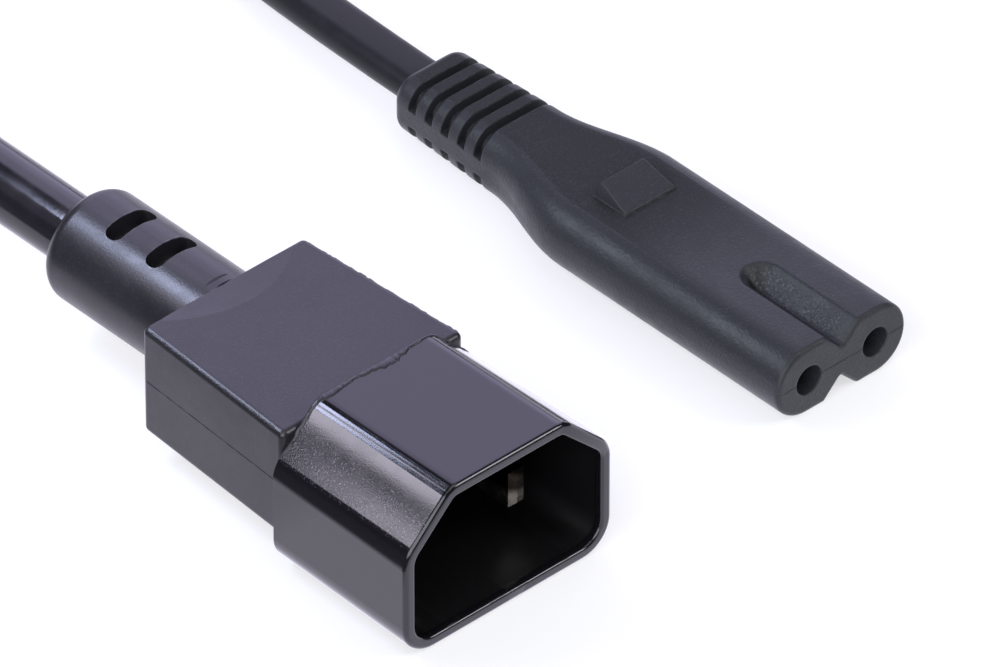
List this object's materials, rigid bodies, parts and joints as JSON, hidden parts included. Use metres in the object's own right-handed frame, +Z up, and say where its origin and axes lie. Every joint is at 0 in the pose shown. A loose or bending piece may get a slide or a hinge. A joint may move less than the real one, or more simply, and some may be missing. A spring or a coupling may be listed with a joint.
{
  "type": "figure eight power connector",
  "caption": "Moulded figure-eight mains connector with grip ramp and slotted boot, on a short flat lead ending in an in-line bladed plug; it feeds a small appliance.",
  "frame": {"origin": "bottom centre of the connector's box, on the surface that the lead lies on", "axes": "+Y from the connector's mating face to its cord, +X across its two contacts, +Z up"},
  "size_m": [0.0765, 0.1687, 0.0176],
  "materials": {
    "connector_pvc": "matte",
    "cord_pvc": "satin",
    "plug_pvc": "satin",
    "hood_gloss": "gloss",
    "blade_nickel": "polished",
    "contact_brass": "plain",
    "copper": "plain",
    "core_insulation": "satin",
    "inner_nylon": "matte"
  },
  "bodies": {
    "root": {"connector_body": "connector_pvc", "contact_carrier": "inner_nylon", "contact_sleeve_left": "contact_brass", "contact_sleeve_right": "contact_brass", "connector_core_left": "core_insulation", "connector_core_right": "core_insulation", "connector_conductor_left": "copper", "connector_conductor_right": "copper", "cord": "cord_pvc", "plug_shroud": "hood_gloss", "plug_pin_line": "blade_nickel", "plug_pin_neutral": "blade_nickel", "plug_pin_earth": "blade_nickel", "plug_body": "plug_pvc", "plug_sleeve": "cord_pvc", "plug_core_line": "core_insulation", "plug_core_neutral": "core_insulation", "plug_conductor_line": "copper", "plug_conductor_neutral": "copper"}
  },
  "joints": []
}
